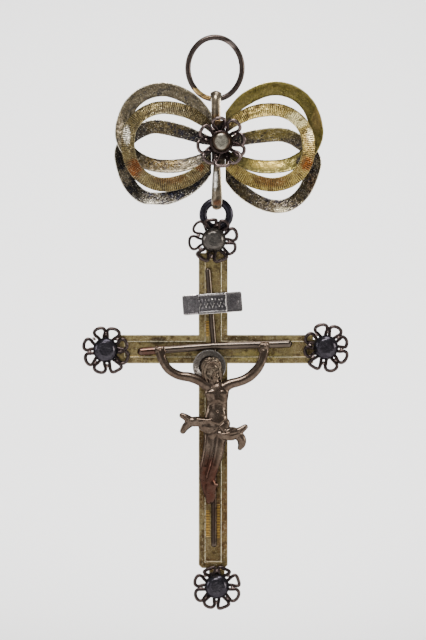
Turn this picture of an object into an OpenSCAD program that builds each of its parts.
// Crucifix pendant: a wire ring, a ribbon bow that swings in it, and a cross that swings under the bow.
// Millimetres, +Z up. The front faces -Y, and the origin is the inner top of the ring.

/* [Ring] */
// Thickness of the ring's round wire
ring_wire = 1.05; // [0.8:0.05:1.3]
// Width of the ring outside
ring_w = 11.4; // [10:0.05:14]
// Height of the ring beyond its width
ring_stretch = 1.5; // [0.4:0.05:3]
// How much tighter the ring turns at its top and bottom than half its width
ring_end_cut = 0.55; // [0.3:0.05:1]

/* [Bails] */
// Room between a wire and the bail that it runs in
link_gap = 0.09; // [0.07:0.01:0.15]
// Inner radius of the upper bail
top_bail_r = 1.3; // [1.1:0.05:1.6]
// Strap thickness of the upper bail
top_bail_t = 1; // [0.8:0.05:1.2]
// Strap width of the upper bail
top_bail_w = 2.1; // [1.8:0.05:2.4]
// Upper bail's place to the right of the ring's middle
top_bail_x = 0.18; // [0:0.01:0.3]
// Inner radius of the lower bail
low_bail_r = 1.25; // [1.15:0.05:1.6]
// Strap thickness of the lower bail
low_bail_t = 0.8; // [0.6:0.05:1]
// Strap width of the lower bail
low_bail_w = 2.1; // [1.8:0.05:2.2]
// Lower bail's place to the right of the ring's middle
low_bail_x = 0.36; // [0.2:0.01:0.4]

/* [Bow] */
// Drop from the ring's lowest wire to the middle of the bow
bow_drop = 8.4; // [7.9:0.1:9.5]
// Drop from the middle of the bow to the cross ring's upper wire
cross_drop = 11.2; // [10.4:0.1:12]
// Bow's place to the right of the ring's middle
bow_x = 0.65; // [0.3:0.05:1]
// Half width of the knot block
knot_half_w = 1.3; // [1.1:0.05:1.5]
// Half height of the knot block
knot_half_h = 4.2; // [3.8:0.1:4.6]
// Reach of a ribbon loop from the middle of the bow
loop_reach = 18.5; // [16:0.1:21]
// Rise of a ribbon loop above or below its own axis
loop_rise = 7.4; // [6.4:0.1:8.4]
// Width of the ribbon
ribbon_w = 3.25; // [2.6:0.05:3.6]
// Thickness of the ribbon
ribbon_t = 0.36; // [0.25:0.01:0.5]
// Angle by which the ribbon turns its face to the front
ribbon_turn = 52; // [40:1:60]
// Distance from one layer of loops to the next
layer_step = 2.35; // [2.2:0.05:3]
// Place of the middle layer behind the ring's plane
layer_y = 0.5; // [0.2:0.05:1]

/* [Rosettes] */
// Overall diameter of a cross rosette
rosette_d = 10; // [9:0.1:10.6]
// Overall diameter of the bow rosette
bow_rosette_d = 10.4; // [9.6:0.1:11]
// Thickness of the petal wire
petal_wire = 0.67; // [0.5:0.01:0.75]
// Petals of a cross rosette
petal_count = 8; // [7:1:9]
// Petals of the bow rosette
bow_petal_count = 9; // [8:1:10]
// Forward tilt of the bow rosette's petals
bow_petal_lift = 24; // [15:1:35]
// Diameter of a domed rivet head
boss_d = 4.75; // [4.2:0.05:5.2]
// Diameter of the bow's rivet head
bow_boss_d = 3.9; // [3.4:0.05:4.3]
// Height of a domed rivet head
boss_h = 2; // [1.6:0.05:2.3]
// Height of the bow's rivet head
bow_boss_h = 2.8; // [2.4:0.05:3.2]
// Straight collar under a cross rivet's dome
boss_collar = 0.15; // [0.1:0.05:0.4]
// Straight collar under the bow rivet's dome
bow_boss_collar = 1.5; // [1.2:0.05:1.8]
// Depth that the bow's rivet reaches into the knot
rivet_depth = 3; // [2:0.5:4]
// Diameter of a rivet shank
shank_d = 1.2; // [0.9:0.05:1.5]
// Thickness of the washer that carries a cross rosette's petals
washer_t = 0.5; // [0.48:0.01:0.7]
// Thickness of the washer that carries the bow rosette's petals
bow_washer_t = 0.35; // [0.3:0.01:0.6]
// Place of the bow rosette's middle to the right of the bow's
bow_rosette_dx = 0.58; // [0:0.01:0.6]

/* [Cross] */
// Drop from the cross ring's upper wire to the middle of the arms
arms_drop = 28.3; // [26:0.1:31]
// Place of the cross to the right of the ring's middle
cross_x = -0.35; // [-0.5:0.05:0.3]
// Width of the upright
upright_w = 5.56; // [5:0.02:6.4]
// Height of the arms' bar
bar_h = 5.46; // [5:0.02:6.4]
// From the middle of the arms up to the top rosette
arm_up = 20.85; // [19:0.05:23]
// From the middle of the arms down to the bottom rosette
arm_down = 45.35; // [42:0.05:50]
// From the middle of the arms to the left rosette
arm_left = 20.6; // [19:0.05:23]
// From the middle of the arms to the right rosette
arm_right = 21.55; // [20:0.05:24]
// Distance from a rosette's middle to the end of its arm
end_gap = 2.4; // [2.1:0.05:3]
// The same distance at the foot of the cross
foot_gap = 3.4; // [2.8:0.05:3.8]
// Bevel on the two lower corners
foot_bevel = 0.6; // [0.3:0.05:1]
// Thickness of the plate
plate_t = 1.2; // [1:0.05:1.5]
// Plate's front face in front of the ring's plane
plate_front = 0.3; // [0.15:0.05:0.33]
// Top rosette's place to the right of the upright's middle
top_shift = 0.1; // [-0.4:0.05:0.6]
// Left rosette's height above the middle of the arms
left_shift = -0.15; // [-0.5:0.05:0.5]
// Right rosette's height above the middle of the arms
right_shift = 0.35; // [-0.5:0.05:0.5]
// Bottom rosette's place to the right of the upright's middle
foot_shift = 0.7; // [-0.4:0.05:0.9]
// Width of the raised border
border_w = 1.3; // [1:0.05:1.3]
// Depth of the sunk field inside the border
field_depth = 0.3; // [0.15:0.05:0.5]
// Diameter of the lugs under the rosettes
lug_d = 4.3; // [3.6:0.1:4.6]
// Width of the neck from an arm to its lug
neck_w = 3; // [2:0.1:3.6]
// Outer diameter of the ring on the cross
cross_ring_d = 6.55; // [6.2:0.05:7]
// Wire thickness of the ring on the cross
cross_ring_wire = 1.5; // [1.3:0.05:1.6]
// Its place to the right of the hanging ring's middle
cross_ring_x = 0.25; // [0:0.05:0.4]

/* [Rods] */
// Thickness of the rod along the arms
bar_rod = 1.5; // [1.2:0.05:1.8]
// Thickness of the upright rod
upright_rod = 1.1; // [0.9:0.05:1.3]
// Height of the crossing above the middle of the arms
rod_rise = 0.6; // [0.3:0.05:0.9]
// Crossing's place to the right of the upright's middle
rod_shift = 0.15; // [-0.2:0.05:0.4]
// Length of the left rod
rod_left = 14.65; // [12:0.05:16]
// Fall of the left rod's end
rod_left_fall = 1.1; // [0.8:0.05:1.15]
// Length of the right rod
rod_right = 14.95; // [12:0.05:16]
// Rise of the right rod's end
rod_right_rise = 0.45; // [0.2:0.05:0.6]
// Length of the rod above the crossing
rod_up = 15; // [13:0.1:15]
// Lean of the upper rod's end to the left
rod_up_lean = 1.2; // [0.4:0.05:1.4]
// Length of the rod below the crossing
rod_down = 38.5; // [34:0.1:40]

/* [Plaque] */
// Width of the title plaque
plaque_w = 11.4; // [10:0.1:13]
// Height of the title plaque
plaque_h = 3.85; // [3.2:0.05:4.5]
// Thickness of the title plaque
plaque_t = 0.5; // [0.4:0.05:0.7]
// Radius of its forward bend
plaque_bend_r = 16; // [13:0.5:24]
// Its height above the middle of the arms
plaque_rise = 8.75; // [8:0.05:10]
// Its place to the right of the upright's middle
plaque_shift = -0.15; // [-0.5:0.05:0.3]
// Its turn up to the right
plaque_turn = 4; // [0:0.5:6]
// Height of the frame on its middle panel
plaque_rim = 0.16; // [0.1:0.02:0.25]

/* [Figure] */
// Height of the figure from the crown of the head to the toes
figure_h = 28.5; // [26:0.1:31]
// Width of the figure's chest
chest_w = 4.3; // [3.8:0.05:4.8]
// Depth of the figure's chest
chest_depth = 2.8; // [2.2:0.05:3.4]
// Drop from the middle of the arms to the crown of the head
figure_drop = 1.35; // [1.1:0.05:1.6]
// Reach of the left hand from the upright's middle
hand_left = 10.6; // [9.5:0.1:12]
// Reach of the right hand from the upright's middle
hand_right = 10.5; // [9.5:0.1:12]
// Radius of the upper arm
arm_r = 0.82; // [0.65:0.01:0.95]
// Diameter of the nimbus
nimbus_d = 6.3; // [5.6:0.1:7]
// Thickness of the nimbus
nimbus_t = 0.45; // [0.3:0.05:0.5]
// Reach of a knotted end of the loincloth from the upright's middle
cloth_reach = 6.2; // [5.4:0.1:7]
// Radius of the loincloth's side rolls
cloth_r = 1; // [0.8:0.05:1.2]
// Radius of a hand
hand_r = 0.52; // [0.4:0.02:0.65]

/* [Fits] */
// Gap between pieces that are set on each other
seat_gap = 0.03; // [0.02:0.01:0.06]

/* [Hidden] */
$fn = 64;
Y = [0, 1, 0];
// How far a cut runs past the face that it opens
over = 1;
// Swell of the bead where two wires meet
bead = 0.03;

// Heights and places that follow from the sizes above
ring_r = (ring_w - ring_wire) / 2;
ring_half_h = ring_r + ring_stretch / 2;
ring_z = ring_wire / 2 - ring_half_h;
ring_end_r = ring_r - ring_end_cut;
ring_end_up = ring_half_h - ring_end_r;
ring_side_r = (ring_r * ring_r + ring_end_up * ring_end_up - ring_end_r * ring_end_r) / (2 * ring_end_cut);
ring_turn = atan2(ring_end_up, ring_side_r - ring_r);
bow_hinge_z = ring_z - ring_half_h;
bow_z = bow_hinge_z - bow_drop;
top_bail_z = bow_hinge_z + ring_wire / 2 + link_gap - top_bail_r;
cross_hinge_z = bow_z - cross_drop;
low_bail_z = cross_hinge_z - cross_ring_wire / 2 - link_gap + low_bail_r;
cross_ring_r = (cross_ring_d - cross_ring_wire) / 2;
arms_z = cross_hinge_z - arms_drop;
plate_back_y = plate_t - plate_front;
field_y = field_depth - plate_front;
rod_back_y = -plate_front - seat_gap;
root_share = 0.5;
root_half_w = 0.32 * ribbon_w;
knot_front_y = layer_y - layer_step - root_half_w;
knot_back_y = layer_y + layer_step + root_half_w;
petal_root_r = 0.44 * boss_d;
petal_climb = (boss_d / 2 - petal_root_r) * tan(bow_petal_lift);
hub_r = petal_root_r + petal_wire / 4;
bore_d = shank_d + 2 * seat_gap;

// Places of the four rosettes: sideways and upward from the middle of the arms
ROSETTE_AT = [[top_shift, arm_up], [-arm_left, left_shift], [arm_right, right_shift],
              [foot_shift, -arm_down]];

// Runs of a loop, from the knot to the far turn. Both runs of the front and upper loops follow the first
// table. The lower loops leave the knot low on their upper run and bulge out on their lower one.
// Columns: along the reach, across the rise, share of the ribbon's width
LOOP_RUN = [[0.16, 0.60, 0.80], [0.36, 0.89, 1], [0.62, 1.00, 1], [0.83, 0.83, 1], [0.96, 0.47, 1]];
LOW_LOOP_ABOVE = [[0.16, 0.29, 0.80], [0.36, 0.67, 1], [0.62, 1.00, 1], [0.83, 0.83, 1], [0.96, 0.47, 1]];
LOW_LOOP_BELOW = [[0.16, 0.55, 0.80], [0.36, 0.86, 1], [0.62, 1.01, 1], [0.83, 0.91, 1], [0.96, 0.55, 1]];

// Hand-made differences between the loops.
// Columns: share of the reach, share of the rise above the axis, share below it, lift of the axis
// in degrees, shares of the rise and of the drop where the two runs meet the knot
LOOP_LEFT_FRONT = [0.935, 0.92, 1.07, -0.6, 1, 1];
LOOP_LEFT_UPPER = [1.01, 1.13, 0.85, 10, 1, 0.85];
LOOP_LEFT_LOWER = [1.02, 0.71, 1.17, -9.5, 0.2, 0.5];
LOOP_RIGHT_FRONT = [0.935, 0.99, 0.95, -5.7, 1, 0.9];
LOOP_RIGHT_UPPER = [1.027, 1.14, 0.88, 10.4, 1, 0.88];
LOOP_RIGHT_LOWER = [1.024, 0.65, 1.20, -14.9, 0.4, 0.3];

// Trunk, legs and head of the figure.
// Columns: share of half the chest's width sideways, share of the height, share of half the chest's
// width, share of half its depth
TRUNK = [[-0.05, 0.180, 0.36, 0.55], [0.10, 0.200, 0.70, 0.72], [0.30, 0.222, 0.98, 0.90],
         [0.40, 0.265, 1.02, 1.00], [0.36, 0.312, 0.95, 0.95], [0.28, 0.362, 0.88, 0.86],
         [0.22, 0.412, 0.98, 0.95], [0.17, 0.465, 1.14, 1.06], [0.17, 0.520, 1.05, 1.02],
         [0.15, 0.560, 0.80, 0.80]];
LEFT_LEG = [[-0.20, 0.500, 0.50, 0.70], [-0.24, 0.560, 0.52, 0.78], [-0.36, 0.640, 0.50, 0.74],
            [-0.66, 0.720, 0.46, 0.68], [-0.80, 0.800, 0.42, 0.58], [-0.62, 0.880, 0.36, 0.52],
            [-0.50, 0.930, 0.30, 0.46], [-0.44, 0.970, 0.24, 0.40], [-0.42, 0.990, 0.12, 0.24]];
RIGHT_LEG = [[0.46, 0.500, 0.62, 0.80], [0.44, 0.560, 0.64, 0.92], [0.22, 0.640, 0.58, 0.92],
             [-0.12, 0.720, 0.50, 0.88], [-0.26, 0.800, 0.42, 0.78], [-0.14, 0.880, 0.38, 0.70],
             [-0.22, 0.925, 0.34, 0.66], [-0.30, 0.970, 0.30, 0.58], [-0.34, 1.000, 0.16, 0.32]];
HEAD = [[-0.20, 0.005, 0.30, 0.30], [-0.20, 0.020, 0.56, 0.60], [-0.20, 0.055, 0.76, 0.80],
        [-0.20, 0.100, 0.80, 0.86], [-0.18, 0.145, 0.70, 0.78], [-0.16, 0.180, 0.50, 0.60],
        [-0.14, 0.205, 0.26, 0.34]];
// Arms, from the shoulder to the hand.
// Columns: share of the hand's reach, share of the height down from the crown, share of the arm's radius
LEFT_ARM = [[0.030, 0.200, 1.10], [0.148, 0.178, 1.12], [0.455, 0.146, 0.95], [0.744, 0.098, 0.92],
            [0.907, 0.025, 0.84], [0.960, -0.010, 0.72], [0.997, -0.036, 0.60]];
RIGHT_ARM = [[0.080, 0.205, 1.10], [0.270, 0.193, 1.12], [0.489, 0.172, 0.97], [0.708, 0.126, 0.92],
             [0.890, 0.039, 0.84], [0.950, 0.000, 0.72], [1.000, -0.042, 0.60]];
// Rolls and knotted ends of the loincloth, each from one ball to another.
// Columns for each ball: share of the reach sideways, share of the height, share of the roll's radius
CLOTH = [[[-0.25, 0.435, 1.10], [-0.66, 0.435, 0.82]], [[-0.66, 0.430, 0.70], [-0.90, 0.407, 0.48]],
         [[-0.68, 0.446, 0.75], [-0.90, 0.491, 0.55]], [[0.23, 0.495, 1.30], [0.68, 0.523, 0.95]],
         [[0.68, 0.512, 0.70], [0.98, 0.474, 0.42]], [[0.70, 0.533, 0.90], [0.81, 0.575, 0.72]],
         [[0.81, 0.575, 0.72], [0.79, 0.621, 0.42]]];

function unit(v) = v / norm(v);

// A smooth curve through rows of numbers, with a few steps from each row to the next
function spline_at(a, b, c, d, t) =
    0.5 * (2 * b + (c - a) * t + (2 * a - 5 * b + 4 * c - d) * t * t + (3 * b - a - 3 * c + d) * t * t * t);
function spline(rows, steps) =
    let (last = len(rows) - 1)
    [for (i = [0:last - 1], k = [0:steps - 1])
         spline_at(rows[max(i - 1, 0)], rows[i], rows[i + 1], rows[min(i + 2, last)], k / steps),
     rows[last]];

function place(row) = [row[0], row[1], row[2]];
function heading(rows, i) =
    unit(place(rows[min(i + 1, len(rows) - 1)]) - place(rows[max(i - 1, 0)]));

// Oval rings along a route. Columns: x, y, z, half width across the route, half depth along Y
function tube_rings(rows, sides) =
    [for (i = [0:len(rows) - 1])
         let (row = rows[i], across = unit(cross(heading(rows, i), Y)))
         [for (k = [0:sides - 1])
              place(row) + row[3] * cos(360 * k / sides) * across + row[4] * sin(360 * k / sides) * Y]];

// Closed skin over a row of rings
module skin(rings) {
    n = len(rings[0]);
    m = len(rings);
    sides = [for (j = [0:m - 2], k = [0:n - 1], half = [0, 1])
                 let (a = j * n + k, b = j * n + (k + 1) % n)
                 half == 0 ? [a, b, b + n] : [a, b + n, a + n]];
    ends = [[for (k = [n - 1:-1:0]) k], [for (k = [0:n - 1]) (m - 1) * n + k]];
    polyhedron([for (ring = rings) each ring], concat(sides, ends));
}

module tube(rows, sides) {
    skin(tube_rings(rows, sides));
}

// Puts a shape that was drawn looking along +Z in front of the XZ plane, facing -Y
module upright() {
    rotate([90, 0, 0]) children();
}

// Round bar of the given length along +Z with a domed far end
module domed_bar(d, length) {
    rotate_extrude()
        intersection() {
            union() {
                square([d / 2, length - d / 2]);
                translate([0, length - d / 2]) circle(d = d);
            }
            square([d, length]);
        }
}

// Domed bar from one place in the XZ plane towards another
module rod(from, to, d, y) {
    step = to - from;
    translate([from[0], y, from[1]])
        rotate([0, atan2(step[0], step[1]), 0])
            domed_bar(d, norm(step));
}

module ring_arc(x, z, r, from, to) {
    translate([x, 0, z])
        upright()
            rotate(from)
                rotate_extrude(angle = to - from) translate([r, 0]) circle(d = ring_wire);
}

// Closed oval of four arcs
module hang_ring() {
    side_x = ring_side_r - ring_r;
    meet_x = ring_end_r * cos(ring_turn);
    meet_z = ring_end_up + ring_end_r * sin(ring_turn);
    color("#5a4a40") {
        ring_arc(0, ring_z + ring_end_up, ring_end_r, ring_turn, 180 - ring_turn);
        ring_arc(-side_x, ring_z, ring_side_r, -ring_turn, ring_turn);
        ring_arc(side_x, ring_z, ring_side_r, 180 - ring_turn, 180 + ring_turn);
        ring_arc(0, ring_z - ring_end_up, ring_end_r, 180 + ring_turn, 360 - ring_turn);
        for (side = [-1, 1], end = [-1, 1])
            translate([side * meet_x, 0, ring_z + end * meet_z]) sphere(d = ring_wire + bead);
    }
}

// Strap section for a bail, rounded on both sides, with x counted from the bail's middle
module bail_section(r, t, w) {
    outer_sag = 0.47 * t;
    inner_sag = 0.45 * t;
    outer_r = (w * w / 4 + outer_sag * outer_sag) / (2 * outer_sag);
    inner_r = (w * w / 4 + inner_sag * inner_sag) / (2 * inner_sag);
    intersection() {
        translate([r + t - outer_r, 0]) circle(r = outer_r, $fn = 128);
        translate([r + inner_r, 0]) circle(r = inner_r, $fn = 128);
        translate([r, -w / 2]) square([t, w]);
    }
}

// Half-round crown of a bail with two legs, bent about the X axis. The legs point down, or up when turned.
module bail(r, t, w, leg) {
    rotate([0, -90, 0]) rotate(-90) rotate_extrude(angle = 180) bail_section(r, t, w);
    for (side = [90, -90])
        translate([0, 0, -leg]) linear_extrude(leg) rotate(side) bail_section(r, t, w);
}

module bow_core() {
    color("#8a7f68")
        difference() {
            union() {
                translate([bow_x - knot_half_w, knot_front_y, bow_z - knot_half_h])
                    cube([2 * knot_half_w, knot_back_y - knot_half_w - knot_front_y, 2 * knot_half_h]);
                translate([bow_x, knot_back_y - knot_half_w, bow_z - knot_half_h])
                    cylinder(r = knot_half_w, h = 2 * knot_half_h);
                translate([top_bail_x, 0, top_bail_z])
                    bail(top_bail_r, top_bail_t, top_bail_w, top_bail_z - bow_z - knot_half_h);
                translate([low_bail_x, 0, low_bail_z])
                    rotate([180, 0, 0])
                        bail(low_bail_r, low_bail_t, low_bail_w, bow_z - knot_half_h - low_bail_z);
            }
            translate([bow_x + bow_rosette_dx, knot_front_y + rivet_depth + seat_gap, bow_z])
                upright() cylinder(d = bore_d, h = rivet_depth + seat_gap + over);
        }
}

function stretched(rows, rise) = [for (row = rows) [row[0], row[1] * rise, row[2]]];
function backward(rows) = [for (i = [len(rows) - 1:-1:0]) rows[i]];

// One ribbon loop on the right of the knot; side -1 mirrors it to the left.
// Face 1 shows the loop's outside to the front, face -1 its inside.
module ribbon_loop(side, face, y, shape, above = LOOP_RUN, below = LOOP_RUN) {
    reach = loop_reach * shape[0];
    turn = face * ribbon_turn;
    root = [[0.5 * knot_half_w / reach, 0.30, root_share]];
    rows = concat(stretched(root, shape[1] * shape[4]), stretched(above, shape[1]), [[1, 0, 1]],
                  stretched(backward(below), -shape[2]), stretched(root, -shape[5]));
    fine = spline(rows, 3);
    route = [for (row = fine) [reach * row[0], 0, loop_rise * row[1]]];
    edge = 0.4 * ribbon_t;
    rings = [for (i = [0:len(fine) - 1])
                 let (ahead = heading(route, i),
                      wide = -cos(turn) * Y + sin(turn) * cross(Y, ahead),
                      thick = cross(ahead, wide),
                      w = ribbon_w * fine[i][2] / 2,
                      t = ribbon_t / 2)
                 [for (c = [[t, edge - w], [t, w - edge], [0, w], [-t, w - edge], [-t, edge - w], [0, -w]])
                      route[i] + c[0] * thick + c[1] * wide]];
    translate([bow_x, y, bow_z])
        mirror([side < 0 ? 1 : 0, 0, 0])
            difference() {
                rotate([0, -shape[3], 0]) skin(rings);
                translate([-2 * knot_half_w, -layer_step, -loop_rise])
                    cube([3 * knot_half_w + 2 * seat_gap, 2 * layer_step, 2 * loop_rise]);
            }
}

front_layer_y = layer_y - layer_step;
back_layer_y = layer_y + layer_step;

module loop_left_front() {
    color("#a89a55") ribbon_loop(-1, 1, front_layer_y, LOOP_LEFT_FRONT);
}
module loop_left_upper() {
    color("#8f8760") ribbon_loop(-1, -1, layer_y, LOOP_LEFT_UPPER);
}
module loop_left_lower() {
    color("#9a936e") ribbon_loop(-1, -1, back_layer_y, LOOP_LEFT_LOWER, LOW_LOOP_ABOVE, LOW_LOOP_BELOW);
}
module loop_right_front() {
    color("#b09f55") ribbon_loop(1, 1, front_layer_y, LOOP_RIGHT_FRONT);
}
module loop_right_upper() {
    color("#7d7338") ribbon_loop(1, -1, layer_y, LOOP_RIGHT_UPPER);
}
module loop_right_lower() {
    color("#9a936e") ribbon_loop(1, -1, back_layer_y, LOOP_RIGHT_LOWER, LOW_LOOP_ABOVE, LOW_LOOP_BELOW);
}

// One petal: a wire loop from the middle outwards, lying in the XY plane along +X
module petal(tip_r, count) {
    touch = 0.05;
    root_spread = 0.6 * petal_wire;
    loop_r = (tip_r - petal_wire / 2) * sin(180 / count) / (1 + sin(180 / count)) + touch / 2;
    middle = tip_r - petal_wire / 2 - loop_r;
    bend = [for (a = [-105:30:105]) [middle + loop_r * cos(a), loop_r * sin(a)]];
    plan = concat([[petal_root_r, -root_spread]], bend, [[petal_root_r, root_spread]]);
    rows = [for (p = plan) [p[0], 0, p[1], petal_wire / 2, petal_wire / 2]];
    rotate([-90, 0, 0]) tube(rows, 6);
}

// Wire rosette facing +Z on a washer whose back is at z = 0
module rosette(d, count, washer, lift, climb) {
    hub_h = washer + petal_wire + climb;
    difference() {
        union() {
            cylinder(r = hub_r, h = hub_h);
            for (k = [0:count - 1])
                rotate(360 * (k + 0.5) / count)
                    translate([petal_root_r, 0, washer + petal_wire / 2])
                        rotate([0, -lift, 0])
                            translate([-petal_root_r, 0, 0])
                                petal(petal_root_r + (d / 2 - petal_root_r) / cos(lift), count);
        }
        translate([0, 0, -over]) cylinder(d = bore_d, h = hub_h + 2 * over);
    }
}

// Domed rivet facing +Z: the head's back is at z = 0 and the shank runs down from it
module boss(d, height, collar, shank) {
    r = d / 2;
    cylinder(r = r, h = collar);
    translate([0, 0, collar])
        intersection() {
            sphere(r = r);
            cylinder(r = r + over, h = height - collar);
        }
    translate([0, 0, -shank]) cylinder(d = shank_d, h = shank);
}

module on_plate(at) {
    translate([cross_x + ROSETTE_AT[at][0], -plate_front, arms_z + ROSETTE_AT[at][1]])
        upright() children();
}

module cross_rosette(at) {
    color("#6a625c")
        on_plate(at) translate([0, 0, seat_gap]) rosette(rosette_d, petal_count, washer_t, 0, 0);
}

module cross_boss(at) {
    seat = 2 * seat_gap + washer_t + petal_wire;
    color("#5c5650")
        on_plate(at) translate([0, 0, seat]) boss(boss_d, boss_h, boss_collar, seat + plate_t);
}

module rosette_top() { cross_rosette(0); }
module rosette_left() { cross_rosette(1); }
module rosette_right() { cross_rosette(2); }
module rosette_bottom() { cross_rosette(3); }
module boss_top() { cross_boss(0); }
module boss_left() { cross_boss(1); }
module boss_right() { cross_boss(2); }
module boss_bottom() { cross_boss(3); }

module on_knot() {
    translate([bow_x + bow_rosette_dx, knot_front_y - seat_gap, bow_z]) upright() children();
}

module bow_rosette() {
    color("#5f554f")
        on_knot() rosette(bow_rosette_d, bow_petal_count, bow_washer_t, bow_petal_lift, petal_climb);
}

module bow_boss() {
    seat = seat_gap + bow_washer_t + petal_wire + petal_climb;
    color("#7f7a66")
        on_knot() translate([0, 0, seat])
            boss(bow_boss_d, bow_boss_h, bow_boss_collar, seat + rivet_depth - seat_gap);
}

// Outline of the cross, drawn in the XZ plane about the middle of the arms
module cross_outline(inset) {
    half = upright_w / 2 - inset;
    top = arm_up - end_gap - inset;
    foot = -arm_down + foot_gap + inset;
    bevel = inset > 0 ? 0 : foot_bevel;
    polygon([[-half, top], [-half, foot + bevel], [bevel - half, foot], [half - bevel, foot],
             [half, foot + bevel], [half, top]]);
    translate([-arm_left + end_gap + inset, -bar_h / 2 + inset])
        square([arm_left + arm_right - 2 * (end_gap + inset), bar_h - 2 * inset]);
}

// Round lugs under the rosettes, each with a neck back to its arm
module cross_lugs() {
    necks = [[0, -1, end_gap], [1, 0, end_gap], [-1, 0, end_gap], [0, 1, foot_gap]];
    for (i = [0:3])
        translate(ROSETTE_AT[i]) {
            circle(d = lug_d);
            rotate(atan2(necks[i][1], necks[i][0]))
                translate([0, -neck_w / 2]) square([necks[i][2] + 1, neck_w]);
        }
}

module cross_plate() {
    color("#8f8450") {
        difference() {
            translate([cross_x, plate_back_y, arms_z])
                upright() linear_extrude(plate_t) {
                    cross_outline(0);
                    cross_lugs();
                }
            translate([cross_x, field_y, arms_z])
                upright() linear_extrude(field_depth + over) cross_outline(border_w);
            for (at = [0:3])
                on_plate(at)
                    translate([0, 0, -plate_t - over]) cylinder(d = bore_d, h = plate_t + 2 * over);
        }
        difference() {
            translate([cross_ring_x, 0, cross_hinge_z - cross_ring_r])
                upright() rotate_extrude() translate([cross_ring_r, 0]) circle(d = cross_ring_wire);
            on_plate(0) cylinder(r = hub_r + 4 * seat_gap, h = cross_ring_wire);
        }
    }
}

module rod_cross() {
    middle = [cross_x + rod_shift, arms_z + rod_rise];
    bar_y = rod_back_y - bar_rod / 2;
    upright_y = rod_back_y - upright_rod / 2;
    color("#4e4038") {
        translate([middle[0], bar_y, middle[1]]) sphere(d = bar_rod + bead);
        rod(middle, middle + [-rod_left, -rod_left_fall], bar_rod, bar_y);
        rod(middle, middle + [rod_right, rod_right_rise], bar_rod, bar_y);
        rod(middle, middle + [-rod_up_lean, rod_up], upright_rod, upright_y);
        rod(middle, middle + [0, -rod_down], upright_rod, upright_y);
    }
}

// Part of a bent plate, seen from above: thickness t on radius r, the given half width, over a height
module bent_plate(r, t, half_w, height) {
    half_angle = asin(half_w / r);
    rotate(-90 - half_angle)
        rotate_extrude(angle = 2 * half_angle)
            translate([r - t, -height / 2]) square([t, height]);
}

module title_plaque() {
    back = rod_back_y - upright_rod - seat_gap;
    outer_r = plaque_bend_r;
    panel_w = 0.46 * plaque_w;
    rim_h = 0.14 * plaque_h;
    color("#5b554d")
        translate([cross_x + plaque_shift, back - plaque_t + outer_r, arms_z + plaque_rise])
            rotate([0, -plaque_turn, 0]) {
                bent_plate(outer_r, plaque_t, plaque_w / 2, plaque_h);
                for (side = [-1, 1])
                    translate([0, 0, side * (plaque_h - rim_h) / 2])
                        bent_plate(outer_r + plaque_rim, plaque_t, panel_w / 2, rim_h);
            }
}

// A place on the figure: x to the right of the upright, depth in front of the rod, height below the crown
figure_back_y = rod_back_y - upright_rod - seat_gap;
crown_z = arms_z - figure_drop;
function body_rows(table, front) =
    [for (row = spline(table, 2))
         let (depth = row[3] * chest_depth / 2)
         [cross_x + row[0] * chest_w / 2, figure_back_y - front - depth, crown_z - row[1] * figure_h,
          row[2] * chest_w / 2, depth]];
function arm_rows(table, reach, shoulder_y, hand_y) =
    [for (row = spline(table, 2))
         [cross_x + reach * row[0], shoulder_y + (hand_y - shoulder_y) * abs(row[0]),
          crown_z - row[1] * figure_h, arm_r * row[2], arm_r * row[2]]];

// Two balls joined by their hull. A ball is [x, down from the crown, radius].
module lobe(from, to, y) {
    hull() {
        for (ball = [from, to])
            translate([cross_x + ball[0], y, crown_z - ball[1]]) sphere(ball[2], $fn = 12);
    }
}

module corpus() {
    rod_front_y = rod_back_y - bar_rod;
    hand_y = rod_front_y - seat_gap - 1.15 * hand_r;
    hand_down = -0.042 * figure_h;
    shoulder_y = figure_back_y - chest_depth * 0.45;
    cloth_y = figure_back_y - chest_depth * 0.5;
    color("#4a4036") {
        tube(body_rows(TRUNK, 0), 14);
        tube(body_rows(LEFT_LEG, 0), 12);
        tube(body_rows(RIGHT_LEG, 0), 12);
        tube(body_rows(HEAD, 0.25 * chest_depth), 12);
        tube(arm_rows(LEFT_ARM, -hand_left, shoulder_y, hand_y), 10);
        tube(arm_rows(RIGHT_ARM, hand_right, shoulder_y, hand_y), 10);
        for (hand_x = [-hand_left, hand_right])
            lobe([hand_x, hand_down, hand_r],
                 [hand_x + 2 * sign(hand_x) * hand_r, hand_down - hand_r, 0.75 * hand_r], hand_y);
        translate([cross_x - 0.25 * nimbus_d / 2, rod_front_y - seat_gap, crown_z - 0.3 * nimbus_d])
            upright() cylinder(d = nimbus_d, h = nimbus_t, $fn = 36);
        for (roll = CLOTH)
            lobe([for (k = [0:2]) roll[0][k] * [cloth_reach, figure_h, cloth_r][k]],
                 [for (k = [0:2]) roll[1][k] * [cloth_reach, figure_h, cloth_r][k]], cloth_y);
    }
}

hang_ring();
bow_core();
loop_left_front();
loop_left_upper();
loop_left_lower();
loop_right_front();
loop_right_upper();
loop_right_lower();
bow_rosette();
bow_boss();
cross_plate();
rod_cross();
title_plaque();
corpus();
rosette_top();
rosette_left();
rosette_right();
rosette_bottom();
boss_top();
boss_left();
boss_right();
boss_bottom();
